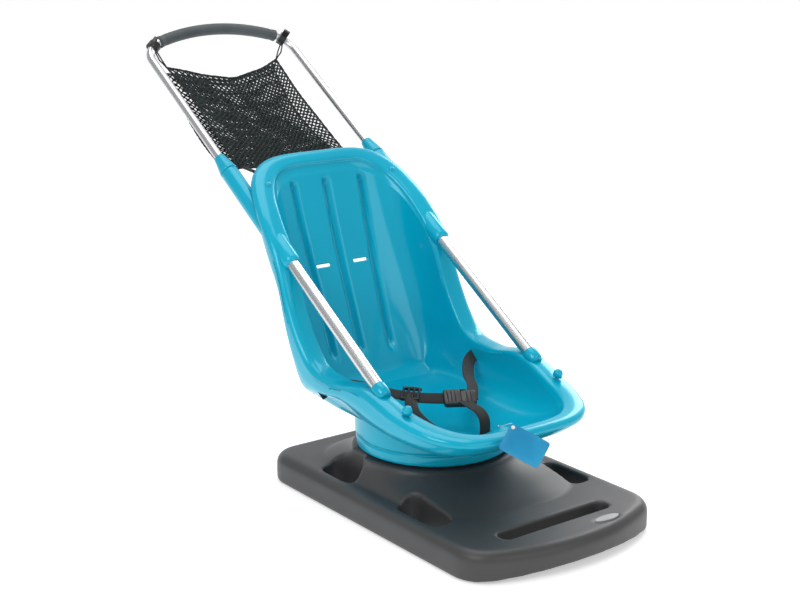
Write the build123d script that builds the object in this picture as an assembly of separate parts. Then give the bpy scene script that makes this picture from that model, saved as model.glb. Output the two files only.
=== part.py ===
from build123d import *
import math
import os

os.makedirs("parts", exist_ok=True)

# Baby sled: a moulded seat that turns on a gliding base, with a push bar
# that slides out of two side tubes. Millimetres, nose towards -Y, floor at z 0.

# base
base_half_width = 216
base_rear = 260
base_nose = -430
base_side_front = -368
rail_height = 56
collar_height = 100
collar_radius = 157
nose_lift = 20
tunnel_half_width = 118
tunnel_height = 14

# seat
wall = 4
lip_front = (-260, 215)
back_top = (375, 605)
seat_half_width = 165
rim_width = 46
rim_end_width = 28
rim_skirt = 26
foot_radius = 147
foot_gap = 4
corner_power = 4.4

# tubes and push bar
tube_offset = 180
tube_start = (-49, 273.5)
tube_rise = 32.7
lower_tube_radius = 12.5
lower_tube_wall = 1.5
bar_radius = 9
shoulder_start = 308
shoulder_end = 567
cap_length = 45
bar_straight_end = 928
bar_inner_end = 385
grip_end = (150, 765, 808)
grip_radius = 12.5
grip_top = (779, 830)

fit = 0.3
bore_fit = 0.5

# directions in the side view
rise = math.radians(tube_rise)
along = (0, math.cos(rise), math.sin(rise))
lean_y = back_top[0] - lip_front[0]
lean_z = back_top[1] - lip_front[1]
rim_length = math.hypot(lean_y, lean_z)
lean = math.atan2(lean_z, lean_y)
deep_y = math.sin(lean)
deep_z = -math.cos(lean)


def tube_point(distance, side=1, raised=0):
    # a point on the axis of a side tube, measured from its lower end
    y = tube_start[0] + distance * along[1] - raised * along[2]
    z = tube_start[1] + distance * along[2] + raised * along[1]
    return (side * tube_offset, y, z)


def rod_along_tube(radius, start, stop, side):
    # a cylinder on the axis of a side tube
    place = Plane(origin=tube_point(start, side), z_dir=along)
    return place * Cylinder(radius, stop - start, align=(Align.CENTER, Align.CENTER, Align.MIN))


def rounded_loop(half_x, low, high, power, steps=12):
    # a closed curve between an oval and a box, on the sheet it is drawn on
    middle = (low + high) / 2
    half_y = (high - low) / 2
    points = []
    for step in range(steps):
        turn = 2 * math.pi * step / steps
        c = math.cos(turn)
        s = math.sin(turn)
        x = math.copysign(abs(c) ** (2 / power), c) * half_x
        y = math.copysign(abs(s) ** (2 / power), s) * half_y + middle
        points.append((x, y))
    return make_face(Spline(*points, periodic=True))


def strap(points, width, thick, flat):
    # webbing laid along straight runs, its flat side facing one way
    path = Polyline(*points)
    start = Plane(origin=path @ 0, x_dir=flat, z_dir=path % 0)
    return sweep(start * Rectangle(width, thick), path=path, transition=Transition.RIGHT)


# the gliding base
def base_outline():
    # rounded rear, nearly straight sides and a bowed nose
    rear = Line((base_half_width, base_rear), (-base_half_width, base_rear))
    left = Line((-base_half_width, base_rear), (-base_half_width, base_side_front))
    nose = ThreePointArc(
        (-base_half_width, base_side_front), (0, base_nose), (base_half_width, base_side_front)
    )
    right = Line((base_half_width, base_side_front), (base_half_width, base_rear))
    face = make_face([rear, left, nose, right])
    rear_corners = face.vertices().filter_by(lambda v: v.Y > 0)
    face = fillet(rear_corners, 58)
    nose_corners = face.vertices().filter_by(lambda v: v.Y < base_side_front + 1)
    return fillet(nose_corners, 72)


def base_hump():
    # webs that climb from the rails to the round collar
    layers = [
        (rail_height - 26, 182, -305, 232, 4.0),
        (rail_height + 4, 172, -262, 205, 3.4),
        (rail_height + 24, 160, -190, 172, 2.4),
        (collar_height, collar_radius - 4, 4 - collar_radius, collar_radius - 4, 2.0),
    ]
    faces = []
    for height, half_x, low, high, power in layers:
        faces.append(Pos(0, 0, height) * rounded_loop(half_x, low, high, power))
    return loft(faces)


def slot_block(x0, x1, y0, y1, z0, z1, radius):
    # an upright block with rounded corners
    block = Pos((x0 + x1) / 2, (y0 + y1) / 2, (z0 + z1) / 2) * Box(x1 - x0, y1 - y0, z1 - z0)
    return fillet(block.edges().filter_by(Axis.Z), radius)


base = extrude(base_outline(), rail_height)
rim_edges = base.edges().group_by(Axis.Z)[-1]
base = fillet(rim_edges, 20)
floor_edges = base.edges().group_by(Axis.Z)[0]
base = fillet(floor_edges, 8)
base = base + base_hump()
base = base + Pos(0, 0, collar_height - 14) * Cylinder(
    collar_radius, 14, align=(Align.CENTER, Align.CENTER, Align.MIN)
)

# openings between rails and webs, and the towing slot in the nose
for side in (-1, 1):
    near = side * (base_half_width - 74)
    far = side * (base_half_width - 28)
    base = base - slot_block(min(near, far), max(near, far), 14, 112, -1, 130, 18)
    base = base - slot_block(min(near, far), max(near, far), -240, -126, -1, 130, 18)
base = base - slot_block(-124, 124, -356, -324, -1, 130, 12)

# tunnel between the runners, the round well over it and the lifted nose
base = base - Pos(0, 40, tunnel_height / 2) * Box(2 * tunnel_half_width, 700, tunnel_height)
base = base - Pos(0, 0, tunnel_height) * Cylinder(
    collar_radius - 40, collar_height - tunnel_height - 22, align=(Align.CENTER, Align.CENTER, Align.MIN)
)
under_nose = make_face(
    [
        Spline((base_side_front + 70, 0), (base_side_front, 3), (base_nose - 20, nose_lift + 6),
               tangents=[(-1, 0), (-1, 0.55)]),
        Line((base_nose - 20, nose_lift + 6), (base_nose - 20, -10)),
        Line((base_nose - 20, -10), (base_side_front + 70, -10)),
        Line((base_side_front + 70, -10), (base_side_front + 70, 0)),
    ]
)
base = base - extrude(Plane.YZ * under_nose, 300, both=True)

# pivot hole
pivot_radius = 9
base = base - Pos(0, 0, 50) * Cylinder(pivot_radius + bore_fit, 200)

# oval plug in the nose bar
plug_place = Pos(78, -391, rail_height - 5)
plug_outline = Ellipse(27, 9)
base = base - plug_place * extrude(Ellipse(27 + fit, 9 + fit), 20)
nose_plug = plug_place * extrude(plug_outline, 6.5)

# turntable ring and pivot
turntable = Pos(0, 0, collar_height) * Cylinder(
    collar_radius - 20, foot_gap - 0.6, align=(Align.CENTER, Align.CENTER, Align.MIN)
)
turntable = turntable - Pos(0, 0, collar_height) * Cylinder(pivot_radius + bore_fit, 40)
well_top = collar_height - 22
foot_bottom = collar_height + foot_gap
pivot_bolt = Pos(0, 0, well_top - 18) * Cylinder(
    pivot_radius, foot_bottom + 26 - well_top, align=(Align.CENTER, Align.CENTER, Align.MIN)
)
pivot_bolt = pivot_bolt + Pos(0, 0, foot_bottom + 4.5) * Cylinder(
    24, 4, align=(Align.CENTER, Align.CENTER, Align.MIN)
)
nut = Pos(0, 0, well_top - 12) * extrude(RegularPolygon(16, 6), 12)
pivot_nut = nut - Pos(0, 0, well_top) * Cylinder(pivot_radius + 0.1, 60)


# the moulded seat
def blend_through(stations, depth):
    # value at a depth, straight between the named stations
    for first, second in zip(stations, stations[1:]):
        if depth <= second[0]:
            share = (depth - first[0]) / (second[0] - first[0])
            return first[1] + share * (second[1] - first[1])
    return stations[-1][1]


# depth below the rim plane against distance from the front lip
floor_line = [(-30, -8), (0, 0), (74, 26), (130, 92), (187, 190), (268, 345)]
back_line = [(-30, rim_length + 28), (0, rim_length), (140, 571), (215, 470), (250, 422), (268, 392)]
width_line = [(-30, 1.0), (140, 1.0), (187, 0.975), (230, 0.93), (268, 0.82)]


def bucket(side_grow, end_grow, drop):
    # the hollow of the seat, grown sideways, endways and downwards
    faces = []
    for depth in (-28, 60, 140, 187, 235, 268):
        low = blend_through(floor_line, depth) - end_grow
        high = blend_through(back_line, depth) + end_grow
        half = seat_half_width * blend_through(width_line, depth) + side_grow
        y = lip_front[0] + (depth + drop) * deep_y
        z = lip_front[1] + (depth + drop) * deep_z
        sheet = Plane(origin=(0, y, z), x_dir=(1, 0, 0), z_dir=(0, -deep_y, -deep_z))
        faces.append(sheet * rounded_loop(half, low, high, corner_power))
    return loft(faces)


def below_rim(shift):
    # everything under the side view of the rim, sunk by the shift
    line = [
        (lip_front[0] - 4, lip_front[1] + 1),
        (-150, 238),
        (-49, 262),
        (45, 250),
        (122, 276),
        (178, 358),
        (215, 440),
        (268, 505),
        (330, 562),
        (back_top[0] + 4, back_top[1] - 1),
    ]
    points = []
    for y, z in line:
        points.append((y + shift * deep_y, z + shift * deep_z))
    start = (points[0][0] - 120, points[0][1] - 18)
    stop = (points[-1][0] + 120, points[-1][1] - 2)
    rim = Spline(*points, tangents=[(1, 0.2), (1, 0.05)])
    face = make_face(
        [
            Line(start, points[0]),
            rim,
            Line(points[-1], stop),
            Line(stop, (stop[0], -200)),
            Line((stop[0], -200), (start[0], -200)),
            Line((start[0], -200), start),
        ]
    )
    return extrude(Plane.YZ * face, 320, both=True)


hollow = bucket(0, 0, 0)
tub = bucket(wall, wall, wall)
rim_inside = bucket(rim_width - wall, rim_end_width - wall, 0)
rim_outside = bucket(rim_width, rim_end_width, 0)
under = below_rim(0)
seat = tub & under
seat = seat + (rim_outside & (under - below_rim(5)))
seat = seat + ((rim_outside - rim_inside) & (under - below_rim(rim_skirt)))

# foot under the seat: a short drum with a bottom plate
foot_height = 78
foot_top_radius = foot_radius + 8
foot = Pos(0, 0, foot_bottom + foot_height / 2) * Cone(foot_radius, foot_top_radius, foot_height)
foot_room = Pos(0, 0, foot_bottom + 4 + foot_height / 2) * Cone(
    foot_radius - wall, foot_top_radius - wall, foot_height
)
seat = seat + (foot - (foot_room - tub))

# housings that hold the side tubes at shoulder and front rim
housing_radius = 18
for side in (-1, 1):
    seat = seat + rod_along_tube(housing_radius, shoulder_start, shoulder_end, side)
    seat = seat + rod_along_tube(housing_radius, -48, 2, side)
seat = seat - hollow
for side in (-1, 1):
    seat = seat - rod_along_tube(lower_tube_radius + fit, -40, shoulder_end + 5, side)
seat = seat - Pos(0, 0, foot_bottom) * Cylinder(pivot_radius + bore_fit, 40)

# three grooves pressed into the backrest, following its curve
groove_depth = 2.2
groove_room = bucket(groove_depth, groove_depth, groove_depth)
for x in (-80, 0, 80):
    strip = Pos(x, 312, 400) * Rot(-17, 0, 0) * Box(13, 160, 330)
    strip = fillet(strip.edges().filter_by(Axis.Y, tolerance=30), 6)
    seat = seat - (strip & groove_room)

# strap slots: two in the backrest, one in each side, one in the floor
slot_height = 395
belt_width = 24
belt_face = (0, 0.5, 0.86)


def belt_points(side):
    # the lap belt from its slot in the side wall to the buckle
    return [(side * 205, 82, 214), (side * 168, 82, 219), (side * 92, 20, 208), (side * 34, -62, 205)]


for side in (-1, 1):
    seat = seat - Pos(side * 45, 300, slot_height) * Box(34, 120, 7)
    seat = seat - strap(belt_points(side)[:3], belt_width + 3, 5, belt_face)
seat = seat - Pos(0, -150, 150) * Box(32, 5, 120)

# screw caps on the rim
screw_caps = Part()
cap_places = [(tube_offset - 2, -150, 241, 9, 15), (150, 338, 566, 7, 50)]
for side in (-1, 1):
    for x, y, z, radius, tilt in cap_places:
        spot = Pos(side * x, y, z - 3) * Rot(tilt, 0, 0)
        dome = spot * Cylinder(radius, 6)
        dome = dome + spot * Pos(0, 0, 3) * (Sphere(radius) & Pos(0, 0, radius) * Box(40, 40, 2 * radius))
        screw_caps = screw_caps + dome
seat = seat - screw_caps

# side tubes and their caps
parts = {}
for side, name in ((-1, "left"), (1, "right")):
    # drawn tube from the front socket to the shoulder cap
    tube = rod_along_tube(lower_tube_radius, -39, shoulder_end - 1, side)
    tube = tube - rod_along_tube(lower_tube_radius - lower_tube_wall, -60, shoulder_end + 20, side)
    parts["side_tube_" + name] = tube
    cap_place = Plane(origin=tube_point(shoulder_end + 0.3, side), z_dir=along)
    cap = cap_place * Pos(0, 0, cap_length / 2) * Cone(housing_radius, bar_radius + 2.2, cap_length)
    cap = cap - rod_along_tube(bar_radius + fit, shoulder_end - 10, shoulder_end + 90, side)
    parts["tube_cap_" + name] = cap

# push bar: two legs, tight bends and a shallow crown
def arc_rod(path, radius):
    # a round rod along one arc
    start = Plane(origin=path @ 0, z_dir=path % 0)
    return sweep(start * Circle(radius), path=path)


crown_ends = {}
bends = {}
for side in (-1, 1):
    crown_ends[side] = (side * grip_end[0], grip_end[1], grip_end[2])
    bends[side] = TangentArc(tube_point(bar_straight_end, side), crown_ends[side], tangent=along)
crown = ThreePointArc(crown_ends[1], (0, grip_top[0], grip_top[1]), crown_ends[-1])


def cut_back(path, length):
    # the path without a short piece at each end
    share = length / path.length
    return path.trim(share, 1 - share)


def bar_solid(radius, straight_start):
    # the whole bar at one radius, its runs joined by balls that stand slightly proud
    solid = arc_rod(cut_back(crown, 1.2), radius)
    for side in (-1, 1):
        top = Plane(origin=crown_ends[side], z_dir=bends[side] % 1)
        foot_end = Plane(origin=tube_point(bar_straight_end, side), z_dir=along)
        solid = solid + top * Sphere(radius + 0.4)
        solid = solid + arc_rod(cut_back(bends[side], 1.2), radius)
        solid = solid + foot_end * Sphere(radius + 0.4)
        solid = solid + rod_along_tube(radius, straight_start, bar_straight_end - 1.2, side)
    return solid


push_bar = bar_solid(bar_radius, bar_inner_end)
bar_room = bar_solid(bar_radius + 0.15, bar_straight_end - 20)
grip = arc_rod(crown.trim(0.012, 0.988), grip_radius) - bar_room
parts["push_bar_tube"] = push_bar
parts["hand_grip"] = grip

# clips at the grip ends that carry the net
clip_places = {}
for side, name in ((-1, "left"), (1, "right")):
    way = bends[side] % 0.78
    place = Plane(origin=bends[side] @ 0.78, x_dir=(0, -along[2], along[1]), z_dir=way)
    clip = place * Cylinder(bar_radius + 5, 14)
    clip = clip + place * Pos(bar_radius + 8, 0, 0) * Box(16, 7, 14)
    parts["grip_clip_" + name] = clip - bar_room
    clip_places[side] = bends[side] @ 0.78

# storage net between the legs of the push bar, with its loops and hooks
net_low = 600
net_high = 895
net_half = 150
net_drop = -16
net_frame = Plane(
    origin=(0, tube_point((net_low + net_high) / 2, 0, net_drop)[1],
            tube_point((net_low + net_high) / 2, 0, net_drop)[2]),
    x_dir=(1, 0, 0), z_dir=(0, -along[2], along[1])
)
net = net_frame * extrude(
    make_face(Polyline(
        (-net_half, (net_high - net_low) / 2), (-60, (net_high - net_low) / 2 - 34),
        (60, (net_high - net_low) / 2 - 34), (net_half, (net_high - net_low) / 2),
        (net_half - 4, -(net_high - net_low) / 2), (4 - net_half, -(net_high - net_low) / 2), close=True)),
    8, both=True)
parts["storage_net"] = net


def rod_between(first, second, radius):
    # a round rod from one point to another
    way = Vector(*second) - Vector(*first)
    place = Plane(origin=first, z_dir=way)
    return place * Cylinder(radius, way.length, align=(Align.CENTER, Align.CENTER, Align.MIN))


loops = Part()
for side in (-1, 1):
    centre = clip_places[side]
    knot = net_frame * Pos(side * (net_half - 6), (net_high - net_low) / 2 - 2, 0)
    top = (centre.X - side * 1, centre.Y - 7, centre.Z - 13)
    loops = loops + rod_between(top, tuple(knot.position), 2.4)
loops = loops - parts["grip_clip_left"] - parts["grip_clip_right"] - push_bar - net
parts["net_loops"] = loops

hooks = Part()
for side in (-1, 1):
    low_point = net_frame * Pos(side * (net_half - 12), -(net_high - net_low) / 2 + 2, 0)
    reach = (side * (net_half - 12), back_top[0] + 30, back_top[1] - 24)
    hooks = hooks + rod_between(tuple(low_point.position), reach, 3.2)
parts["net_hooks"] = hooks - net - seat

# harness webbing, buckle and adjuster
belts = {}
for side, name in ((-1, "left"), (1, "right")):
    belts[name] = strap(belt_points(side), belt_width, 2, belt_face)
    parts["lap_belt_" + name] = belts[name]
parts["crotch_strap"] = strap([(0, -150, 152), (0, -144, 172), (0, -102, 199)], 24, 2, (1, 0, 0))
buckle = Pos(0, -78, 205) * Rot(-12, 0, 0) * Box(72, 46, 12)
buckle = fillet(buckle.edges().filter_by(Axis.X), 4)
parts["harness_buckle"] = buckle - belts["left"] - belts["right"] - parts["crotch_strap"]
adjuster = Pos(-70, -10, 207) * Rot(0, 0, 55) * Box(34, 10, 30)
parts["belt_adjuster"] = adjuster - belts["left"]

# blank hang tag in front of the rim, on a short string
tag_place = Plane(origin=(-55, -320, 198), x_dir=(0.8, -0.6, 0), z_dir=(-0.58, -0.77, 0.25))
tag_place = tag_place * Rot(0, 0, -28)
tag = tag_place * Box(76, 50, 1.2)
tag_eye = tag_place * Pos(-32, 19, 0)
tag = tag + rod_between(tuple(tag_eye.position), (-46, -262, 217.5), 1.1)
parts["hang_tag"] = tag - seat

parts["sled_base"] = base
parts["nose_plug"] = nose_plug
parts["turntable"] = turntable
parts["pivot_bolt"] = pivot_bolt
parts["pivot_nut"] = pivot_nut
parts["seat_shell"] = seat
parts["screw_caps"] = screw_caps

# stand everything with the middle of its bounding box over the origin
low_y = min(piece.bounding_box().min.Y for piece in parts.values())
high_y = max(piece.bounding_box().max.Y for piece in parts.values())
shift = -(low_y + high_y) / 2
for name, piece in parts.items():
    export_step(Pos(0, shift, 0) * piece, "parts/" + name + ".step")
print("moved along Y by", round(shift, 3))
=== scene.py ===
import bpy
import bmesh
import math
import numpy as np
from mathutils import Vector, Matrix


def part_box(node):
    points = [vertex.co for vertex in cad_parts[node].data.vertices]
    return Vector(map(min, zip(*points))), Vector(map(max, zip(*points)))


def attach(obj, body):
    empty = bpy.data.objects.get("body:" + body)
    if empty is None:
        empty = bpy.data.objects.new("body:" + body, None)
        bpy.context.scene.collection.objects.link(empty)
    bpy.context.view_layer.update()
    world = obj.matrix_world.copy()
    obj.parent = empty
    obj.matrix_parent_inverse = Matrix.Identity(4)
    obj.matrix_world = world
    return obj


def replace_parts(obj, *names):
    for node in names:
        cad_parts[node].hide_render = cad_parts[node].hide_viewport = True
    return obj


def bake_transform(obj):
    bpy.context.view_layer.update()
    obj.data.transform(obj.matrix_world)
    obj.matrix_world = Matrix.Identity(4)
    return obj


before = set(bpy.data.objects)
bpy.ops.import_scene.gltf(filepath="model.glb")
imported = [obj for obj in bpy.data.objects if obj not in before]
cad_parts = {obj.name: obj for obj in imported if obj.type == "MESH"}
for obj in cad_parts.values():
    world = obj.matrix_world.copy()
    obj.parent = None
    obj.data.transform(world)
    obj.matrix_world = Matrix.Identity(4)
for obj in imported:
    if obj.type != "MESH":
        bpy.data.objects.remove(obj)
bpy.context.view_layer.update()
scene = bpy.context.scene
low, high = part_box("pivot_bolt")
pivotY = (low[1] + high[1]) / 2  # the seat turns about this line


# sizes shared by the pieces, in millimetres from the turning axis
sled = {
    "lip": (-260.0, 215.0),
    "backTop": (375.0, 605.0),
    "tubeX": 180.0,
    "tubeStart": (-49.0, 273.5),
    "tubeRise": 32.7,
    "shoulderStart": 308.0,
    "straightEnd": 928.0,
    "gripEnd": (150.0, 765.0, 808.0),
    "gripTop": (779.0, 830.0),
}
rise = math.radians(sled["tubeRise"])
along = np.array([0.0, math.cos(rise), math.sin(rise)])
lift = np.array([0.0, -math.sin(rise), math.cos(rise)])
lean = math.atan2(sled["backTop"][1] - sled["lip"][1], sled["backTop"][0] - sled["lip"][0])
deepY, deepZ = math.sin(lean), -math.cos(lean)


def toScene(points):
    # millimetres from the turning axis to metres in the row frame
    return np.asarray(points, float) / 1000.0 + np.array([0.0, pivotY, 0.0])


def tubePoint(distance, side=1.0, raised=0.0):
    # a point at a distance up the side tube's line, raised square to it
    base = np.array([side * sled["tubeX"], sled["tubeStart"][0], sled["tubeStart"][1]])
    return base + distance * along + raised * lift


def smoothStep(a, b, x):
    # 0 before a, 1 after b, a cubic between
    t = np.clip((x - a) / (b - a), 0.0, 1.0)
    return t * t * (3.0 - 2.0 * t)


def softLine(xs, ys, x):
    # cubic through the stations, slopes from their neighbours, straight beyond both ends
    xs, ys = np.asarray(xs, float), np.asarray(ys, float)
    slope = np.gradient(ys, xs)
    k = np.clip(np.searchsorted(xs, x) - 1, 0, len(xs) - 2)
    h = xs[k + 1] - xs[k]
    t = np.clip((x - xs[k]) / h, 0.0, 1.0)
    body = ((2 * t**3 - 3 * t**2 + 1) * ys[k] + (t**3 - 2 * t**2 + t) * h * slope[k]
            + (3 * t**2 - 2 * t**3) * ys[k + 1] + (t**3 - t**2) * h * slope[k + 1])
    return body + np.minimum(x - xs[0], 0) * slope[0] + np.maximum(x - xs[-1], 0) * slope[-1]


def softPath(stations, count):
    # points spread evenly over the stations' numbers, each coordinate a soft line through them
    stations = np.asarray(stations, float)
    k = np.arange(len(stations))
    steps = np.linspace(0, len(stations) - 1, count)
    return np.stack([softLine(k, stations[:, i], steps) for i in range(3)], -1)


def addPiece(name, points, faces, body, material, tidyNormals=True):
    # a mesh from arrays, facing outwards, riding on a body
    mesh = bpy.data.meshes.new(name)
    mesh.from_pydata(toScene(points).tolist(), [], faces)
    if tidyNormals:
        work = bmesh.new()
        work.from_mesh(mesh)
        bmesh.ops.recalc_face_normals(work, faces=work.faces)
        if work.calc_volume(signed=True) < 0:
            bmesh.ops.reverse_faces(work, faces=work.faces)
        work.to_mesh(mesh)
        work.free()
    mesh.polygons.foreach_set("use_smooth", np.full(len(mesh.polygons), True))
    piece = bpy.data.objects.new(name, mesh)
    scene.collection.objects.link(piece)
    mesh.materials.append(material)
    if body:
        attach(piece, body)
    return piece


def gridFaces(rows, cols, wrapCols=True):
    # four-sided faces of a grid, four point numbers each, the last column joined to the first if it wraps
    across = cols if wrapCols else cols - 1
    row, col = np.meshgrid(np.arange(rows - 1), np.arange(across), indexing="ij")
    here, nextCol = row * cols, (col + 1) % cols
    quads = np.stack([here + col, here + nextCol, here + cols + nextCol, here + cols + col], -1)
    return quads.reshape(-1, 4)


def closedSkin(grid):
    # a grid whose columns wrap, with a fan to a middle point at both ends
    rows, cols = grid.shape[:2]
    points = np.concatenate([grid.reshape(-1, 3), grid[0].mean(0)[None], grid[-1].mean(0)[None]])
    c = np.arange(cols)
    nxt = (c + 1) % cols
    first = np.stack([nxt, c, np.full(cols, rows * cols)], -1)
    ring = (rows - 1) * cols
    last = np.stack([c + ring, nxt + ring, np.full(cols, rows * cols + 1)], -1)
    faces = gridFaces(rows, cols).tolist() + first.tolist() + last.tolist()
    return points, faces


def pathFrames(path):
    # directions along a path and two square to it, carried from point to point
    way = np.gradient(path, axis=0)
    way /= np.linalg.norm(way, axis=1)[:, None]
    side = np.zeros_like(way)
    guess = np.array([1.0, 0.0, 0.0]) if abs(way[0][0]) < 0.9 else np.array([0.0, 0.0, 1.0])
    for i in range(len(path)):  # one step per ring of the path
        guess = guess - way[i] * np.dot(guess, way[i])
        guess /= np.linalg.norm(guess)
        side[i] = guess
    return way, side, np.cross(way, side)


def roundRod(path, radii, sides=32):
    # circles of the given radii carried along a path, closed at both ends
    path = np.asarray(path, float)
    radii = np.broadcast_to(np.asarray(radii, float), (len(path),))
    _, a, b = pathFrames(path)
    turn = np.linspace(0, 2 * np.pi, sides, endpoint=False)
    ring = np.cos(turn)[None, :, None] * a[:, None] + np.sin(turn)[None, :, None] * b[:, None]
    return closedSkin(path[:, None] + radii[:, None, None] * ring)


def turnedShape(origin, axis, profile, sides=64):
    # a profile of (distance along, radius) pairs turned about an axis
    profile = np.asarray(profile, float)
    path = np.asarray(origin, float) + profile[:, :1] * np.asarray(axis, float)
    way = np.asarray(axis, float) / np.linalg.norm(axis)
    guess = np.array([1.0, 0.0, 0.0]) if abs(way[0]) < 0.9 else np.array([0.0, 0.0, 1.0])
    a = guess - way * np.dot(guess, way)
    a /= np.linalg.norm(a)
    b = np.cross(way, a)
    turn = np.linspace(0, 2 * np.pi, sides, endpoint=False)
    ring = np.cos(turn)[:, None] * a + np.sin(turn)[:, None] * b
    return closedSkin(path[:, None] + profile[:, 1][:, None, None] * ring[None])


def joinShapes(shapes):
    # several shapes as one list of points and faces
    points, faces, count = [], [], 0
    for p, f in shapes:
        points.append(p)
        faces += [[i + count for i in face] for face in f]
        count += len(p)
    return np.concatenate(points), faces


# materials, each from its own settings
def newMaterial(name):
    # an empty material with its nodes, links and shader at hand
    material = bpy.data.materials.new(name)
    material.use_nodes = True
    nodes, links = material.node_tree.nodes, material.node_tree.links
    return material, nodes, links, nodes["Principled BSDF"]


def mouldedPlastic(name, s):
    # colour drifts with a broad noise, gloss with a second, the skin gets a fine grain
    material, nodes, links, shader = newMaterial(name)
    place = nodes.new("ShaderNodeTexCoord")
    broad = nodes.new("ShaderNodeTexNoise")
    broad.inputs["Scale"].default_value = s["driftScale"]
    broad.inputs["Detail"].default_value = 3
    ramp = nodes.new("ShaderNodeValToRGB")
    ramp.color_ramp.elements[0].position = 0.3
    ramp.color_ramp.elements[1].position = 0.7
    ramp.color_ramp.elements[0].color = (*s["dark"], 1)
    ramp.color_ramp.elements[1].color = (*s["light"], 1)
    links.new(place.outputs["Object"], broad.inputs["Vector"])
    links.new(broad.outputs["Fac"], ramp.inputs["Fac"])
    links.new(ramp.outputs["Color"], shader.inputs["Base Color"])
    gloss = nodes.new("ShaderNodeMapRange")
    gloss.inputs["To Min"].default_value = s["rough"][0]
    gloss.inputs["To Max"].default_value = s["rough"][1]
    patch = nodes.new("ShaderNodeTexNoise")
    patch.inputs["Scale"].default_value = s["patchScale"]
    links.new(place.outputs["Object"], patch.inputs["Vector"])
    links.new(patch.outputs["Fac"], gloss.inputs["Value"])
    links.new(gloss.outputs["Result"], shader.inputs["Roughness"])
    grain = nodes.new("ShaderNodeTexNoise")
    grain.inputs["Scale"].default_value = s["grainScale"]
    grain.inputs["Detail"].default_value = 4
    bump = nodes.new("ShaderNodeBump")
    bump.inputs["Strength"].default_value = s["grain"]
    bump.inputs["Distance"].default_value = 0.0006
    links.new(place.outputs["Object"], grain.inputs["Vector"])
    links.new(grain.outputs["Fac"], bump.inputs["Height"])
    links.new(bump.outputs["Normal"], shader.inputs["Normal"])
    shader.inputs["Coat Weight"].default_value = s.get("coat", 0.0)
    shader.inputs["Coat Roughness"].default_value = s.get("coatRough", 0.1)
    shader.inputs["Specular Tint"].default_value = (*s.get("shine", (1, 1, 1)), 1)
    shader.inputs["Coat Tint"].default_value = (*s.get("shine", (1, 1, 1)), 1)
    shader.inputs["Subsurface Weight"].default_value = s.get("glow", 0.0)
    shader.inputs["Subsurface Radius"].default_value = (0.004, 0.008, 0.01)
    return material


def drawnAluminium(name, s):
    # fine lines along the tube from a noise that is stretched along it
    material, nodes, links, shader = newMaterial(name)
    place = nodes.new("ShaderNodeTexCoord")
    turn = nodes.new("ShaderNodeMapping")
    turn.inputs["Rotation"].default_value = (-rise, 0, 0)
    turn.inputs["Scale"].default_value = (s["across"], s["alongScale"], s["across"])
    lines = nodes.new("ShaderNodeTexNoise")
    lines.inputs["Scale"].default_value = 1.0
    lines.inputs["Detail"].default_value = 5
    links.new(place.outputs["Object"], turn.inputs["Vector"])
    links.new(turn.outputs["Vector"], lines.inputs["Vector"])
    ramp = nodes.new("ShaderNodeValToRGB")
    ramp.color_ramp.elements[0].color = (*s["dark"], 1)
    ramp.color_ramp.elements[1].color = (*s["light"], 1)
    links.new(lines.outputs["Fac"], ramp.inputs["Fac"])
    links.new(ramp.outputs["Color"], shader.inputs["Base Color"])
    gloss = nodes.new("ShaderNodeMapRange")
    gloss.inputs["To Min"].default_value = s["rough"][0]
    gloss.inputs["To Max"].default_value = s["rough"][1]
    links.new(lines.outputs["Fac"], gloss.inputs["Value"])
    links.new(gloss.outputs["Result"], shader.inputs["Roughness"])
    bump = nodes.new("ShaderNodeBump")
    bump.inputs["Strength"].default_value = 0.12
    bump.inputs["Distance"].default_value = 0.0003
    links.new(lines.outputs["Fac"], bump.inputs["Height"])
    links.new(bump.outputs["Normal"], shader.inputs["Normal"])
    shader.inputs["Metallic"].default_value = 1.0
    return material


def wovenBand(name, s):
    # ribs across the band and threads along it, from two waves on the piece's own UV map
    material, nodes, links, shader = newMaterial(name)
    place = nodes.new("ShaderNodeUVMap")
    ribs = nodes.new("ShaderNodeTexWave")
    ribs.bands_direction = "X"
    ribs.inputs["Scale"].default_value = s["ribs"]
    threads = nodes.new("ShaderNodeTexWave")
    threads.bands_direction = "Y"
    threads.inputs["Scale"].default_value = s["threads"]
    threads.inputs["Distortion"].default_value = 0.6
    mix = nodes.new("ShaderNodeMath")
    mix.operation = "MULTIPLY"
    links.new(place.outputs["UV"], ribs.inputs["Vector"])
    links.new(place.outputs["UV"], threads.inputs["Vector"])
    links.new(ribs.outputs["Fac"], mix.inputs[0])
    links.new(threads.outputs["Fac"], mix.inputs[1])
    ramp = nodes.new("ShaderNodeValToRGB")
    ramp.color_ramp.elements[0].color = (*s["dark"], 1)
    ramp.color_ramp.elements[1].color = (*s["light"], 1)
    links.new(mix.outputs["Value"], ramp.inputs["Fac"])
    links.new(ramp.outputs["Color"], shader.inputs["Base Color"])
    bump = nodes.new("ShaderNodeBump")
    bump.inputs["Strength"].default_value = 0.7
    bump.inputs["Distance"].default_value = 0.0006
    links.new(mix.outputs["Value"], bump.inputs["Height"])
    links.new(bump.outputs["Normal"], shader.inputs["Normal"])
    shader.inputs["Roughness"].default_value = s["rough"]
    shader.inputs["Sheen Weight"].default_value = 0.06
    return material


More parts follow.
